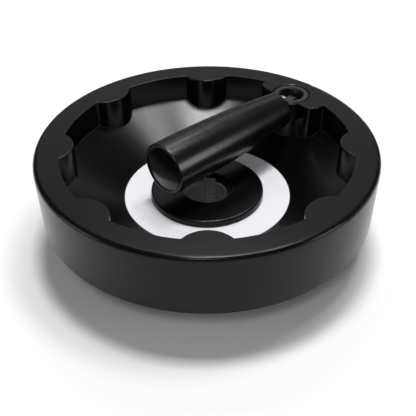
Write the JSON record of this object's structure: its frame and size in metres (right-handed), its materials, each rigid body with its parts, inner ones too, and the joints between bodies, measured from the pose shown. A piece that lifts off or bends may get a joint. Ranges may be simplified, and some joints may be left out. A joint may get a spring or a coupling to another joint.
{
  "type": "machine handwheel",
  "caption": "Deep-dished handwheel with finger lobes inside its rim, a keyed shaft bush and a revolving handle that folds down into the dish.",
  "frame": {"origin": "centre of the hub's back face, on the shaft axis", "axes": "+Z along the shaft axis from the hub's back face towards the operator; -Y towards the side that faces the usual viewer; the handle's pivot is in the +X +Y quarter"},
  "size_m": [0.1598, 0.1598, 0.056],
  "materials": {
    "black_moulding": "black thermoset, satin to gloss",
    "grip_plastic": "black plastic, satin",
    "dial_white": "matt white anodised",
    "black_steel": "blackened steel",
    "bare_steel": "turned steel, lightly oiled",
    "bearing_bronze": "sintered bronze"
  },
  "bodies": {
    "wheel": {"wheel_body": "black_moulding", "dial_ring": "dial_white", "shaft_bush": "bare_steel", "handle_bush": "black_steel", "pivot_pin": "bare_steel", "bush_plug": "bare_steel", "detent_spring": "bare_steel"},
    "plunger": {"detent_plunger": "black_steel"},
    "handle_spindle": {"spindle": "bare_steel", "thrust_washer": "bare_steel", "end_washer": "bare_steel", "retaining_ring": "bare_steel"},
    "handle_grip": {"grip": "grip_plastic", "grip_cap": "grip_plastic", "root_bearing": "bearing_bronze", "end_bearing": "bearing_bronze"}
  },
  "joints": [
    {"name": "handle_fold", "type": "hinge", "parent": "wheel", "child": "handle_spindle", "pos_m": [0.04339, 0.04718, 0.0435], "axis": [-0.6807, 0.7325, 0], "range_deg": [0, 90]},
    {"name": "grip_spin", "type": "hinge", "parent": "handle_spindle", "child": "handle_grip", "pos_m": [0.04339, 0.04718, 0.0435], "axis": [-0.7325, -0.6807, 0], "continuous": true},
    {"name": "detent_slide", "type": "slide", "parent": "wheel", "child": "plunger", "axis": [0, 0, 1], "range_m": [-0.0012, 0], "stiffness_N_per_m": 2000, "deforming": ["detent_spring"]}
  ]
}
